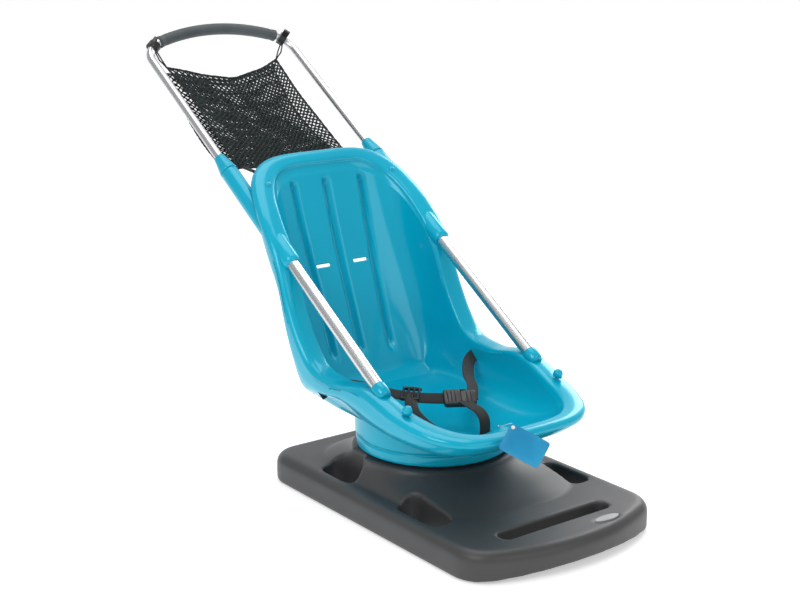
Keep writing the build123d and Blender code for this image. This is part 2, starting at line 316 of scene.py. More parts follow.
seatCyan = mouldedPlastic("seatCyan", {
    "dark": (0.001, 0.36, 0.5), "light": (0.001, 0.45, 0.6), "driftScale": 2.2, "rough": (0.24, 0.36),
    "patchScale": 9, "grainScale": 900, "grain": 0.05, "coat": 0.6, "coatRough": 0.12,
    "shine": (0.2, 0.9, 1.0)})
baseGrey = mouldedPlastic("baseGrey", {
    "dark": (0.042, 0.042, 0.043), "light": (0.056, 0.056, 0.058), "driftScale": 4,
    "rough": (0.36, 0.5), "patchScale": 14, "grainScale": 1100, "grain": 0.22})
plugGrey = mouldedPlastic("plugGrey", {
    "dark": (0.3, 0.31, 0.31), "light": (0.42, 0.43, 0.43), "driftScale": 30, "rough": (0.3, 0.45),
    "patchScale": 40, "grainScale": 1400, "grain": 0.15})
partBlack = mouldedPlastic("partBlack", {
    "dark": (0.008, 0.008, 0.009), "light": (0.018, 0.018, 0.02), "driftScale": 25,
    "rough": (0.28, 0.42), "patchScale": 60, "grainScale": 1800, "grain": 0.2})
gripRubber = mouldedPlastic("gripRubber", {
    "dark": (0.05, 0.062, 0.068), "light": (0.075, 0.09, 0.096), "driftScale": 18, "rough": (0.5, 0.66),
    "patchScale": 30, "grainScale": 2200, "grain": 0.4})
netCord = mouldedPlastic("netCord", {
    "dark": (0.004, 0.009, 0.009), "light": (0.013, 0.024, 0.024), "driftScale": 60,
    "rough": (0.7, 0.9), "patchScale": 80, "grainScale": 4000, "grain": 0.6})
boltSteel = drawnAluminium("boltSteel", {
    "dark": (0.4, 0.4, 0.41), "light": (0.6, 0.6, 0.61), "across": 300, "alongScale": 300,
    "rough": (0.3, 0.45)})
tubeAluminium = drawnAluminium("tubeAluminium", {
    "dark": (0.6, 0.61, 0.62), "light": (0.74, 0.75, 0.76), "across": 900, "alongScale": 14,
    "rough": (0.2, 0.34)})
webbing = wovenBand("webbing", {
    "ribs": 260, "threads": 420, "dark": (0.004, 0.005, 0.005), "light": (0.018, 0.02, 0.02),
    "rough": 0.7})
tagBlue = mouldedPlastic("tagBlue", {
    "dark": (0.002, 0.22, 0.44), "light": (0.003, 0.3, 0.55), "driftScale": 16, "rough": (0.3, 0.4),
    "patchScale": 20, "grainScale": 1500, "grain": 0.05})
stringWhite = mouldedPlastic("stringWhite", {
    "dark": (0.6, 0.6, 0.6), "light": (0.85, 0.85, 0.85), "driftScale": 60, "rough": (0.6, 0.8),
    "patchScale": 80, "grainScale": 4000, "grain": 0.5})
print("materials ready")


# camera, floor and light
view = {"lens": 67.62, "sensor": 36.0, "place": (-1.6826, -2.1247, 1.0906),
        "way": (0.5824, 0.7723, -0.2536)}
cameraData = bpy.data.cameras.new("camera")
cameraData.lens = view["lens"]
cameraData.sensor_width = view["sensor"]
camera = bpy.data.objects.new("camera", cameraData)
scene.collection.objects.link(camera)
scene.camera = camera
camera.location = (view["place"][0], view["place"][1] + pivotY, view["place"][2])
camera.rotation_euler = Vector(view["way"]).to_track_quat("-Z", "Y").to_euler()
cameraData.clip_end = 60


def studioFloor(s):
    # a wide pale floor that rises softly behind the sled
    x = np.linspace(-s["wide"], s["wide"], 9)
    arc = np.linspace(0, math.pi / 2, 24)
    y = np.concatenate([[-s["near"]], s["far"] + s["bend"] * np.sin(arc), [s["far"] + s["bend"]]])
    z = np.concatenate([[0.0], s["bend"] * (1 - np.cos(arc)), [s["top"]]])
    wide, deep = np.meshgrid(x, y)
    tall = np.broadcast_to(z[:, None], wide.shape)
    spin = math.radians(s["turn"])
    grid = np.stack([wide * math.cos(spin) - deep * math.sin(spin),
                     wide * math.sin(spin) + deep * math.cos(spin), tall], -1)
    mesh = bpy.data.meshes.new("floor")
    faces = gridFaces(len(y), len(x), wrapCols=False)
    mesh.from_pydata(grid.reshape(-1, 3).tolist(), [], faces.tolist())
    mesh.polygons.foreach_set("use_smooth", np.full(len(mesh.polygons), True))
    floor = bpy.data.objects.new("floor", mesh)
    scene.collection.objects.link(floor)
    material, nodes, links, shader = newMaterial("paleFloor")
    grain = nodes.new("ShaderNodeTexNoise")
    grain.inputs["Scale"].default_value = 3
    ramp = nodes.new("ShaderNodeValToRGB")
    ramp.color_ramp.elements[0].color = (*s["dark"], 1)
    ramp.color_ramp.elements[1].color = (*s["light"], 1)
    links.new(grain.outputs["Fac"], ramp.inputs["Fac"])
    links.new(ramp.outputs["Color"], shader.inputs["Base Color"])
    shader.inputs["Roughness"].default_value = 0.8
    shader.inputs["Emission Color"].default_value = (1, 1, 1, 1)
    shader.inputs["Emission Strength"].default_value = s["ownLight"]
    mesh.materials.append(material)


studioFloor({"turn": -37, "wide": 9, "near": 6, "far": 4.5, "bend": 2.0, "top": 7,
             "dark": (0.86, 0.86, 0.86), "light": (0.9, 0.9, 0.9), "ownLight": 0.42})


def areaLight(name, place, aim, size, power):
    # a soft rectangle of light at a place, turned towards its aim
    data = bpy.data.lights.new(name, "AREA")
    data.shape = "RECTANGLE"
    data.size, data.size_y = size
    data.energy = power
    light = bpy.data.objects.new(name, data)
    light.location = place
    light.rotation_euler = (Vector(aim) - Vector(place)).to_track_quat("-Z", "Y").to_euler()
    scene.collection.objects.link(light)


# name, place, aim, size and power of each
lamps = (("keyLeft", (-2.6, -1.2, 2.4), (0, 0, 0.35), (1.6, 1.6), 36),
         ("fillFront", (0.4, -3.4, 1.8), (0, 0, 0.3), (2.4, 1.4), 16),
         ("topSoft", (0.2, 0.4, 3.2), (0, 0, 0.2), (2.4, 2.4), 40),
         ("rimRight", (2.6, 0.9, 1.7), (0, 0, 0.5), (0.9, 1.8), 24))
worldStrength = 0.46
for lamp in lamps:
    areaLight(*lamp)
world = bpy.data.worlds.new("studio")
scene.world = world
world.use_nodes = True
world.node_tree.nodes["Background"].inputs["Color"].default_value = (1, 1, 1, 1)
world.node_tree.nodes["Background"].inputs["Strength"].default_value = worldStrength
scene.view_settings.view_transform = "Standard"
print("camera, floor and light ready")


# seat shell
seatShape = {
    "columns": 520,
    "power": 4.4,
    "halfWidth": 165.0,
    "rimWidth": 46.0,
    "rimEnd": 28.0,
    "skirt": 34.0,
    "drawnBy": 150.0,
    "wall": 4.0,
    "hip": 268.0,
    "hipSag": 5.0,
    "rimDrop": 15.0,
    "rimSearch": (-28, 260, 577),
    "floorShrink": (0.06, 0.97),
    "innerRows": 72,
    "outerRows": 60,
    "pressFrom": (214, 236),
    "pressTo": (548, 566),
    "ridge": {"y": -196, "wide": 30, "tall": 17, "below": 214},
    "roll": ((0.0, 10), (0.015, 6), (0.05, 2.8), (0.11, 0.9), (0.2, 0.0), (0.34, -0.8), (0.5, -1.2),
             (0.64, -0.8), (0.76, 0.3), (0.86, 2.4), (0.94, 5.6), (0.985, 10), (1.0, 15)),
    "depths": (-28, 60, 140, 187, 235, 268),
    "front": (-7.5, 21.1, 109.3, 190.0, 281.9, 345.0),
    "width": (1.0, 1.0, 1.0, 0.975, 0.921, 0.82),
    "grooveX": (-79.0, 0.0, 85.0),
    "grooveHalf": 6.4,
    "grooveDepth": 14.0,
    "grooveWay": (0.95, -0.3),
    "laneFrom": (230, 560),
    "laneShare": 0.14,
    "pressReach": (0.45, 0.8),
    "pressBack": (0.55, 0.75),
    "rimLine": ((-264, 204), (-150, 229), (-49, 259), (45, 250), (122, 276), (178, 358), (215, 440),
                (268, 505), (330, 562), (379, 604)),
}
rimLength = math.hypot(sled["backTop"][0] - sled["lip"][0], sled["backTop"][1] - sled["lip"][1])
backDepths = np.array([-30, 0, 140, 215, 250, 268.0])
backReach = np.array([rimLength + 28, rimLength, 571, 470, 422, 392])
seatShape["back"] = tuple(np.interp(seatShape["depths"], backDepths, backReach))


def evenLoop(columns, power, aspect):
    # cosine and sine, each to the power of 2 over power: a loop between oval and box, as shares of its
    # half width and half length, with points evenly spaced along it
    turn = np.linspace(0, 2 * np.pi, 60001)
    x = np.sign(np.cos(turn)) * np.abs(np.cos(turn)) ** (2 / power)
    y = np.sign(np.sin(turn)) * np.abs(np.sin(turn)) ** (2 / power)
    length = np.concatenate([[0], np.cumsum(np.hypot(np.diff(x) * aspect, np.diff(y)))])
    even = np.linspace(0, length[-1], columns, endpoint=False)
    return np.interp(even, length, x), np.interp(even, length, y)


loopX, loopY = evenLoop(seatShape["columns"], seatShape["power"], 0.46)


def bucketPoint(depth, sideGrow, endGrow, drop=0.0, shrink=1.0):
    # a loop on a sheet parallel to the rim plane, its span and width read at the depth
    s = seatShape
    front = softLine(s["depths"], s["front"], depth) - endGrow
    back = softLine(s["depths"], s["back"], depth) + endGrow
    half = s["halfWidth"] * softLine(s["depths"], s["width"], depth) + sideGrow
    x = loopX * half * shrink
    u = (front + back) / 2 + loopY * (back - front) / 2 * shrink
    y = sled["lip"][0] + (depth + drop) * deepY + u * math.cos(lean)
    z = sled["lip"][1] + (depth + drop) * deepZ + u * math.sin(lean)
    return np.stack(np.broadcast_arrays(x, y, z), -1)


def rimDepth(sideGrow, endGrow):
    # the depth at which each column of the wall meets the side view of the rim
    depths = np.linspace(*seatShape["rimSearch"])[:, None]
    points = bucketPoint(depths, sideGrow, endGrow)
    line = np.array(seatShape["rimLine"], float)
    over = points[..., 2] - softLine(line[:, 0], line[:, 1], points[..., 1])
    above = over > 0
    last = len(depths) - 2 - np.argmax(above[::-1][1:], axis=0)
    cols = np.arange(over.shape[1])
    a, b = over[last, cols], over[last + 1, cols]
    share = np.clip(a / (a - b), 0, 1)
    return depths[last, 0] + share * (depths[1, 0] - depths[0, 0])


def seatSurface():
    # inner wall up from the hip, over the rolled rim, down the skirt, back under, down the outer wall
    s = seatShape
    inTop = rimDepth(0.0, 0.0)
    outTop = rimDepth(s["rimWidth"], s["rimEnd"])
    rows = []
    reach = []
    hip = np.full_like(inTop, s["hip"])
    for shrink in np.linspace(*s["floorShrink"], 14):
        rows.append(bucketPoint(hip, 0, 0, s["hipSag"] * (1 - shrink**3), shrink))
    for share in 1 - np.linspace(0, 1, s["innerRows"]) ** 1.05:
        rows.append(bucketPoint(inTop + s["rimDrop"] + (s["hip"] - inTop - s["rimDrop"]) * share, 0, 0))
    insideCount = len(rows)
    reach += [np.ones_like(inTop)] * insideCount
    sunk = np.array([0, deepY, deepZ])
    inner = bucketPoint(inTop, 0, 0)
    outer = bucketPoint(outTop, s["rimWidth"], s["rimEnd"])
    for share, down in s["roll"]:
        rows.append(inner + (outer - inner) * share + sunk * down)
        reach.append(0 * inTop)
    # outside: straight down under the rim, then drawn in to the tub's own wall
    for share in np.linspace(0.02, 1, s["outerRows"]) ** 1.15:
        depth = outTop + s["rimDrop"] + (s["hip"] - outTop - s["rimDrop"]) * share
        drawn = 1 - smoothStep(s["skirt"], s["drawnBy"], depth - outTop)
        side = s["wall"] + (s["rimWidth"] - s["wall"]) * drawn
        end = s["wall"] + (s["rimEnd"] - s["wall"]) * drawn
        rows.append(bucketPoint(depth, side, end, s["wall"] * share))
        reach.append(smoothStep(*s["pressReach"], 1 - drawn))
    for shrink in np.linspace(*s["floorShrink"][::-1], 10):
        sag = s["wall"] + s["hipSag"] * (1 - shrink**3)
        rows.append(bucketPoint(hip, s["wall"], s["wall"], sag, shrink))
        reach.append(0 * inTop)
    grid = np.stack(rows)
    flatRows = np.arange(len(rows))[:, None]
    x, y, z = grid[..., 0], grid[..., 1], grid[..., 2]
    # grooves pressed into the backrest
    press = np.zeros_like(x)
    for grooveX in s["grooveX"]:
        lane = grooveX * (1 - s["laneShare"] + s["laneShare"] * smoothStep(*s["laneFrom"], z))
        half = s["grooveHalf"] + np.where(flatRows < insideCount, 0.0, s["wall"])
        press = np.maximum(press, np.exp(-np.abs((x - lane) / half) ** 4.0))
    press *= smoothStep(*s["pressFrom"], z) * (1 - smoothStep(*s["pressTo"], z))
    press *= smoothStep(*s["pressBack"], loopY)[None]
    press *= np.stack(reach)
    y += press * s["grooveDepth"] * s["grooveWay"][0]
    z += press * s["grooveDepth"] * s["grooveWay"][1]
    # the ridge between the legs
    r = s["ridge"]
    ridge = np.exp(-(x / r["wide"]) ** 2 - ((y - r["y"]) / r["wide"]) ** 2)
    z += r["tall"] * ridge * (flatRows < insideCount) * (z < r["below"])
    return closedSkin(grid)


seatPoints, seatFaces = seatSurface()
seatPiece = addPiece("seatTub", seatPoints, seatFaces, None, seatCyan)


def cutSlots(piece, centres, size):
    # strap slots cut right through the shell: the piece less a box at each centre
    cutters = []
    for centre in centres:
        work = bmesh.new()
        bmesh.ops.create_cube(work, size=1.0)
        mesh = bpy.data.meshes.new("cutter")
        work.to_mesh(mesh)
        work.free()
        cutter = bpy.data.objects.new("cutter", mesh)
        scene.collection.objects.link(cutter)
        spot = Vector(toScene(centre))
        mesh.transform(Matrix.Translation(spot)
                       @ Matrix.Diagonal((size[0] / 1000, size[1] / 1000, size[2] / 1000, 1)))
        cut = piece.modifiers.new("slot", "BOOLEAN")
        cut.operation = "DIFFERENCE"
        cut.solver = "MANIFOLD"
        cut.object = cutter
        cutters.append(cutter)
    bpy.context.view_layer.update()
    mesh = bpy.data.meshes.new_from_object(piece.evaluated_get(bpy.context.evaluated_depsgraph_get()))
    piece.modifiers.clear()
    old = piece.data
    piece.data = mesh
    bpy.data.meshes.remove(old)
    for cutter in cutters:
        bpy.data.objects.remove(cutter)


strapSlots = {"x": 45, "y": 312, "z": 395, "size": (34, 60, 6.5)}
cutSlots(seatPiece, [(side * strapSlots["x"], strapSlots["y"], strapSlots["z"]) for side in (-1, 1)],
         strapSlots["size"])
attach(seatPiece, "seat")
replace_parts(seatPiece, "seat_shell")
print("seat shell ready")


def tubFloor(x, y):
    # height of the tub's inner skin over a point in plan
    s = seatShape
    depths = np.linspace(20, s["hip"], 400)[:, None]
    u = (y - sled["lip"][0] - depths * deepY) / math.cos(lean)
    front = softLine(s["depths"], s["front"], depths)
    back = softLine(s["depths"], s["back"], depths)
    half = s["halfWidth"] * softLine(s["depths"], s["width"], depths)
    off = np.clip(np.abs((u - (front + back) / 2) / ((back - front) / 2)), 0, 1)
    inside = np.abs(x) < half * (1 - off ** s["power"]) ** (1 / s["power"])
    height = sled["lip"][1] + u * math.sin(lean) + depths * deepZ
    return np.where(inside, height, 1e9).min(0)


def footRing(radius, turn, height):
    # one ring of the foot, its height a number or one for each point
    return np.stack([radius * np.cos(turn), radius * np.sin(turn), height + 0 * turn], -1)


def seatFoot(s):
    # a drum whose top edge follows the underside of the tub
    turn = np.linspace(0, 2 * np.pi, 160, endpoint=False)
    floor = tubFloor(s["topRadius"] * np.cos(turn), s["topRadius"] * np.sin(turn))
    top = np.minimum(floor, s["highest"]) - s["under"]
    rows = []
    for radius, height in s["profile"]:
        rows.append(footRing(radius, turn, height))
    for share in np.linspace(0.1, 1, 8):
        radius = s["profile"][-1][0] + (s["topRadius"] - s["profile"][-1][0]) * share
        height = s["profile"][-1][1] + (top - s["profile"][-1][1]) * share
        rows.append(footRing(radius, turn, height))
    # the top edge folded down inside and closed across, under the tub's floor
    rows.append(footRing(s["topRadius"] - s["fold"], turn, top - 1))
    rows.append(footRing(s["topRadius"] - s["fold"] - 1, turn, s["inside"]))
    rows.append(footRing(s["middleRadius"], turn, s["inside"] - 2))
    return closedSkin(np.stack(rows))


footShape = {"topRadius": 151.0, "inside": 132.0, "highest": 190, "under": 2.4, "fold": 3,
             "middleRadius": 12, "profile": (
                 (20, 104.2), (140, 104.2), (145.5, 104.6), (147, 106), (147.6, 110), (148.2, 121),
                 (147.8, 123.2), (146.2, 124), (146.2, 126.5), (148.4, 127.2), (149.6, 128.6), (150.2, 131))}
p, f = seatFoot(footShape)
addPiece("seatFoot", p, f, "seat", seatCyan)

# housings on the shoulders and sockets on the front rim, as pairs of distance and radius
housingShape = {
    "shoulder": ((-9, 12.8), (-8.5, 15), (-6, 17), (0, 18.4), (30, 18.8), (150, 18.4), (245, 18), (256, 18),
                 (258.6, 17.2), (259, 15.5), (258.8, 12.7)),
    "socketStart": -40,
    "socket": ((-8, 8), (-7, 12), (-2, 14.2), (8, 15), (16, 14.8), (20, 14.2), (21, 13.4), (20.8, 12.7)),
}
housings = []
for side in (-1, 1):
    for start, profile in ((sled["shoulderStart"], housingShape["shoulder"]),
                           (housingShape["socketStart"], housingShape["socket"])):
        housings.append(turnedShape(tubePoint(start, side), along, profile))
p, f = joinShapes(housings)
addPiece("tubeHousings", p, f, "seat", seatCyan)
print("foot and housings ready")


# side tubes, caps and push bar
def arcThrough(start, middle, stop, count):
    # points of the circle through three points
    a, b, c = (np.asarray(v, float) for v in (start, middle, stop))
    ab, ac = b - a, c - a
    normal = np.cross(ab, ac)
    toCentre = np.dot(ac, ac) * np.cross(normal, ab) - np.dot(ab, ab) * np.cross(normal, ac)
    centre = a + toCentre / (2 * np.dot(normal, normal))
    e1 = (a - centre) / np.linalg.norm(a - centre)
    e2 = np.cross(normal / np.linalg.norm(normal), e1)
    radius = np.linalg.norm(a - centre)
    end = math.atan2(np.dot(c - centre, e2), np.dot(c - centre, e1)) % (2 * math.pi)
    t = np.linspace(0, end, count)[:, None]
    return centre + radius * (np.cos(t) * e1 + np.sin(t) * e2)


def tangentArc(start, way, stop, count):
    # points of the circle that leaves start along way and meets stop
    start, stop = np.asarray(start, float), np.asarray(stop, float)
    chord = stop - start
    side = chord - way * np.dot(chord, way)
    side /= np.linalg.norm(side)
    radius = np.dot(chord, chord) / (2 * np.dot(chord, side))
    centre = start + side * radius
    end = 2 * math.atan2(np.dot(chord, side), np.dot(chord, way))
    t = np.linspace(0, end, count)[:, None]
    return centre + radius * (-np.cos(t) * side + np.sin(t) * way)


tubeShape = {
    "radius": 12.5,
    "sides": 64,
    "stations": (-30, -28, 0, 100, 200, 300, 400, 500, 560, 565.0),
    "capStart": 567,
    "cap": ((0.5, 12), (0.6, 17.2), (1.6, 18), (6, 18.2), (7, 17.6), (8, 17.2), (9, 17.4), (20, 15.6),
            (34, 13.2), (40, 12.2), (43.4, 11.8), (45, 11), (45.2, 9.4)),
}
for side, word in ((-1, "left"), (1, "right")):
    ends = [tubePoint(d, side) for d in tubeShape["stations"]]
    p, f = roundRod(ends, tubeShape["radius"], tubeShape["sides"])
    tube = addPiece("sideTube" + word.title(), p, f, "seat", tubeAluminium)
    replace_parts(tube, "side_tube_" + word)
    p, f = turnedShape(tubePoint(tubeShape["capStart"], side), along, tubeShape["cap"])
    cap = addPiece("tubeCap" + word.title(), p, f, "seat", seatCyan)
    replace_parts(cap, "tube_cap_" + word)

barShape = {"radius": 9.0, "sides": 48, "legStations": (385, 500, 612, 700, 800, 900)}
crownRight = np.array(sled["gripEnd"])
crownLeft = crownRight * np.array([-1, 1, 1])
crownTop = np.array([0, sled["gripTop"][0], sled["gripTop"][1]])
bendRight = tangentArc(tubePoint(sled["straightEnd"], 1), along, crownRight, 20)
bendLeft = tangentArc(tubePoint(sled["straightEnd"], -1), along, crownLeft, 20)
crownArc = arcThrough(crownRight, crownTop, crownLeft, 60)
legRight = np.array([tubePoint(d, 1) for d in barShape["legStations"]])
legLeft = np.array([tubePoint(d, -1) for d in barShape["legStations"]])
barPath = np.concatenate([legRight, bendRight, crownArc[1:-1], bendLeft[::-1], legLeft[::-1]])
p, f = roundRod(barPath, barShape["radius"], barShape["sides"])
bar = addPiece("pushBarTube", p, f, "push_bar", tubeAluminium)
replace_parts(bar, "push_bar_tube")


def gripShape(s):
    # a soft sleeve on the crown, thicker at its ends, with a shallow ring by each
    share = np.linspace(s["margin"], 1 - s["margin"], s["rings"])
    k = share * (len(crownArc) - 1)
    path = np.stack([np.interp(k, np.arange(len(crownArc)), crownArc[:, i]) for i in range(3)], -1)
    edge = np.minimum(share - s["margin"], 1 - s["margin"] - share)
    radii = s["radius"] + s["lip"] * np.exp(-(edge / s["lipWide"]) ** 2)
    radii = radii - s["dip"] * np.exp(-((edge - s["dipAt"]) / s["dipWide"]) ** 2)
    radii[0], radii[-1] = s["endRadius"], s["endRadius"]
    return roundRod(path, radii, barShape["sides"])


p, f = gripShape({"margin": 0.012, "rings": 120, "radius": 12.3, "endRadius": 10.4, "lip": 0.9,
                  "lipWide": 0.02, "dip": 0.7, "dipAt": 0.045, "dipWide": 0.008})
grip = addPiece("handGrip", p, f, "push_bar", gripRubber)
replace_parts(grip, "hand_grip")
print("tubes and grip ready")


# carried-over solids, merged and softened; angles in degrees
sharpFrom = 35
bevelFrom = 40


def softCopy(node, name, body, material, bevel=0.0, voxel=0.0, rounds=0):
    # a merged copy of a CAD solid that stands for it: remeshed and relaxed, or bevelled where asked
    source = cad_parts[node]
    mesh = source.data.copy()
    mesh.name = name
    work = bmesh.new()
    work.from_mesh(mesh)
    bmesh.ops.remove_doubles(work, verts=work.verts, dist=2e-6)
    work.to_mesh(mesh)
    work.free()
    mesh.materials.clear()
    mesh.materials.append(material)
    piece = bpy.data.objects.new(name, mesh)
    scene.collection.objects.link(piece)
    if voxel:
        remesh = piece.modifiers.new("skin", "REMESH")
        remesh.mode = "VOXEL"
        remesh.voxel_size = voxel
        remesh.use_smooth_shade = True
        relax = piece.modifiers.new("soften", "SMOOTH")
        relax.factor = 0.5
        relax.iterations = rounds
        bpy.context.view_layer.update()
        finished = piece.evaluated_get(bpy.context.evaluated_depsgraph_get())
        done = bpy.data.meshes.new_from_object(finished)
        piece.modifiers.clear()
        piece.data = done
        done.materials.clear()
        done.materials.append(material)
        done.polygons.foreach_set("use_smooth", np.full(len(done.polygons), True))
    else:
        if bevel:
            edge = piece.modifiers.new("edge", "BEVEL")
            edge.width = bevel
            edge.segments = 3
            edge.limit_method = "ANGLE"
            edge.angle_limit = math.radians(bevelFrom)
        mesh.polygons.foreach_set("use_smooth", np.full(len(mesh.polygons), True))
        mesh.set_sharp_from_angle(angle=math.radians(sharpFrom))
    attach(piece, body)
    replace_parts(piece, node)
    return piece


softCopy("sled_base", "slidingBase", "base", baseGrey, voxel=0.0034, rounds=7)
softCopy("nose_plug", "nosePlug", "base", plugGrey, bevel=0.0012)
softCopy("turntable", "turningRing", "base", partBlack)
softCopy("pivot_bolt", "pivotBolt", "base", boltSteel, bevel=0.0008)
softCopy("pivot_nut", "pivotNut", "base", boltSteel, bevel=0.001)
softCopy("screw_caps", "rimCaps", "seat", seatCyan)
softCopy("grip_clip_left", "gripClipLeft", "push_bar", partBlack, bevel=0.0016)
softCopy("grip_clip_right", "gripClipRight", "push_bar", partBlack, bevel=0.0016)
softCopy("net_hooks", "netHooks", "seat", partBlack)
print("carried-over pieces ready")


# storage net
netShape = {"low": 590.0, "high": 922.0, "half": 136.0, "shift": -9.0, "drop": -14.0, "sag": 50.0,
            "belly": 26.0, "ripple": 1.6, "waist": 0.05, "pocket": 38.0, "bulge": 24.0, "backSag": 0.25,
            "backNarrow": 3, "cell": 11.5, "cord": 1.75, "weave": 0.5, "knot": 0.75, "knotPower": 14,
            "edgeCord": 1.15, "edgeSpread": 0.9, "edgeWave": 0.5, "edgeWaves": 90, "edgeTurn": 2.1}


def netPoint(a, b, layer):
    # a across from -1 to 1 and b up from 0 to 1: a hung sheet, its top edge sagging, its middle
    # bellied down by a half sine, and the second layer a pocket's depth below the first
    s = netShape
    top = s["high"] - s["sag"] * (1 - np.abs(a) ** 1.5) * (1 - s["backSag"] * layer)
    distance = s["low"] + (top - s["low"]) * b
    half = s["half"] * (1 - s["waist"] * np.sin(np.pi * b)) - s["backNarrow"] * layer
    belly = s["belly"] * np.sin(np.pi * np.clip(b, 0, 1)) * (1 - a**2) * 0.5
    deep = s["drop"] - belly - layer * s["pocket"] * np.sin(np.pi * np.clip(b * 0.92, 0, 1)) ** 0.6
    ripple = s["ripple"] * np.sin(9 * a + 5 * b) * np.sin(7 * b + 2 * a)
    base = tubePoint(0, 0)
    # the lower left of the second layer hangs out under the tube
    out = -layer * s["bulge"] * np.clip(-a, 0, 1) ** 2 * np.clip(1 - b, 0, 1) ** 0.7
    return (np.array([1.0, 0, 0]) * (a * half + s["shift"] + out)[..., None] + base
            + along * distance[..., None] + lift * (deep + ripple)[..., None])


def strand(path, radius, sides=4, kept=None):
    # thin cords, many at once: circles carried along each, with faces only between points that are kept
    way = np.gradient(path, axis=1)
    way /= np.linalg.norm(way, axis=-1, keepdims=True) + 1e-9
    a = np.cross(way, lift)
    a /= np.linalg.norm(a, axis=-1, keepdims=True) + 1e-9
    b = np.cross(way, a)
    turn = np.linspace(0, 2 * np.pi, sides, endpoint=False)
    ring = np.cos(turn)[:, None] * a[..., None, :] + np.sin(turn)[:, None] * b[..., None, :]
    points = path[..., None, :] + radius[..., None, None] * ring
    cords, steps = path.shape[:2]
    cord, row, col = np.meshgrid(np.arange(cords), np.arange(steps - 1), np.arange(sides), indexing="ij")
    here, nextCol = (cord * steps + row) * sides, (col + 1) % sides
    quads = np.stack([here + col, here + nextCol, here + sides + nextCol, here + sides + col], -1)
    if kept is not None:
        quads = quads[(kept[:, 1:] & kept[:, :-1])[cord, row]]
    used, quads = np.unique(quads.reshape(-1, 4), return_inverse=True)
    return points.reshape(-1, 3)[used], quads.reshape(-1, 4).tolist()


def netLayer(layer):
    # two families of slanting cords with a knot where they cross, and three cords along each edge
    s = netShape
    wide = 2 * s["half"]
    tall = s["high"] - s["low"] - s["sag"] * 0.5
    across = int(wide / s["cell"])
    up = int(tall / s["cell"])
    shapes = []
    for way in (-1, 1):
        starts = np.arange(-up, across + 1)
        steps = np.linspace(0, up, up * 3 + 1)
        col = starts[:, None] + steps[None]
        col = col if way > 0 else across - col
        a = np.clip(col / across, 0, 1) * 2 - 1
        b = np.broadcast_to(steps[None] / up, a.shape)
        path = netPoint(a, b, layer)
        weave = s["weave"] * np.sin(np.pi * steps)[None] * way
        path = path + lift * weave[..., None]
        knot = np.abs(np.cos(np.pi * steps)) ** s["knotPower"]
        radius = s["cord"] * (1 + s["knot"] * knot)[None] * np.ones(len(starts))[:, None]
        shapes.append(strand(path, radius, kept=(col > -0.01) & (col < across + 0.01)))
    # the edge cords lie side by side and wave out of step
    t = np.linspace(0, 1, 121)
    one, zero = np.ones_like(t), np.zeros_like(t)
    for edgeA, edgeB in ((t * 2 - 1, one), (t * 2 - 1, zero), (one, t), (-one, t)):
        for cord in range(3):
            turn = cord * s["edgeTurn"]
            path = netPoint(edgeA, edgeB, layer) + lift * s["edgeSpread"] * math.sin(turn)
            path = path + along * s["edgeSpread"] * math.cos(turn)
            path = path + lift * s["edgeWave"] * np.sin(t * s["edgeWaves"] + turn)[:, None]
            shapes.append(strand(path[None], np.full((1, len(t)), s["edgeCord"]), 6))
    return joinShapes(shapes)


p, f = joinShapes([netLayer(0), netLayer(1)])
net = addPiece("storageNet", p, f, None, netCord, tidyNormals=False)
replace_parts(net, "storage_net")
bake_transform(net)

# cords from the net's top corners to the bar, two at each side
loopShape = {"barSpot": (158.0, 758.0, 792.0), "apart": 5, "radius": 1.5, "sides": 12}
loops = []
for side in (-1, 1):
    corner = netPoint(np.array(float(side)), np.array(1.0), 0)
    x, y, z = loopShape["barSpot"]
    for apart in (-loopShape["apart"], loopShape["apart"]):
        top = np.array([side * x, y + apart * 0.8, z])
        middle = (top + corner) / 2 + np.array([side * 1.5, apart * 0.9, -2.0])
        line = np.array([top, top * 0.72 + middle * 0.28, middle, middle * 0.4 + corner * 0.6,
                         corner + (0, 0, -1.5)])
        loops.append(roundRod(line, loopShape["radius"], loopShape["sides"]))
p, f = joinShapes(loops)
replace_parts(addPiece("netLoops", p, f, "push_bar", netCord), "net_loops")
print("net ready")


# harness
def ribbon(name, s, node=None):
    # a flat band with rounded edges carried along a smooth line, with its own UV map
    line = softPath(s["path"], s["rings"])
    faceWay = softPath(s["flat"], s["rings"])
    way = np.gradient(line, axis=0)
    way /= np.linalg.norm(way, axis=1)[:, None]
    faceWay -= way * (faceWay * way).sum(1)[:, None]
    faceWay /= np.linalg.norm(faceWay, axis=1)[:, None]
    cross = np.cross(way, faceWay)
    w, t = s["width"] / 2, s["thick"] / 2
    section = np.array([(-w + t, t), (-w * 0.5, t * 1.05), (0, t * 1.1), (w * 0.5, t * 1.05), (w - t, t),
                        (w, 0), (w - t, -t), (0, -t * 1.1), (-w + t, -t), (-w, 0)])
    grid = (line[:, None] + section[None, :, :1] * cross[:, None]
            + section[None, :, 1:] * faceWay[:, None])
    points, faces = closedSkin(grid)
    piece = addPiece(name, points, faces, "seat", webbing)
    length = np.concatenate([[0], np.cumsum(np.linalg.norm(np.diff(line, axis=0), axis=1))]) / 1000
    cols = len(section)
    us = np.concatenate([np.repeat(length, cols), [0, length[-1]]])
    vs = np.concatenate([np.tile(section[:, 0] / 1000, len(line)), [0, 0]])
    layer = piece.data.uv_layers.new(name="band")
    index = np.empty(len(piece.data.loops), dtype=np.int32)
    piece.data.loops.foreach_get("vertex_index", index)
    layer.data.foreach_set("uv", np.stack([us[index], vs[index]], -1).ravel())
    if node:
        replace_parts(piece, node)


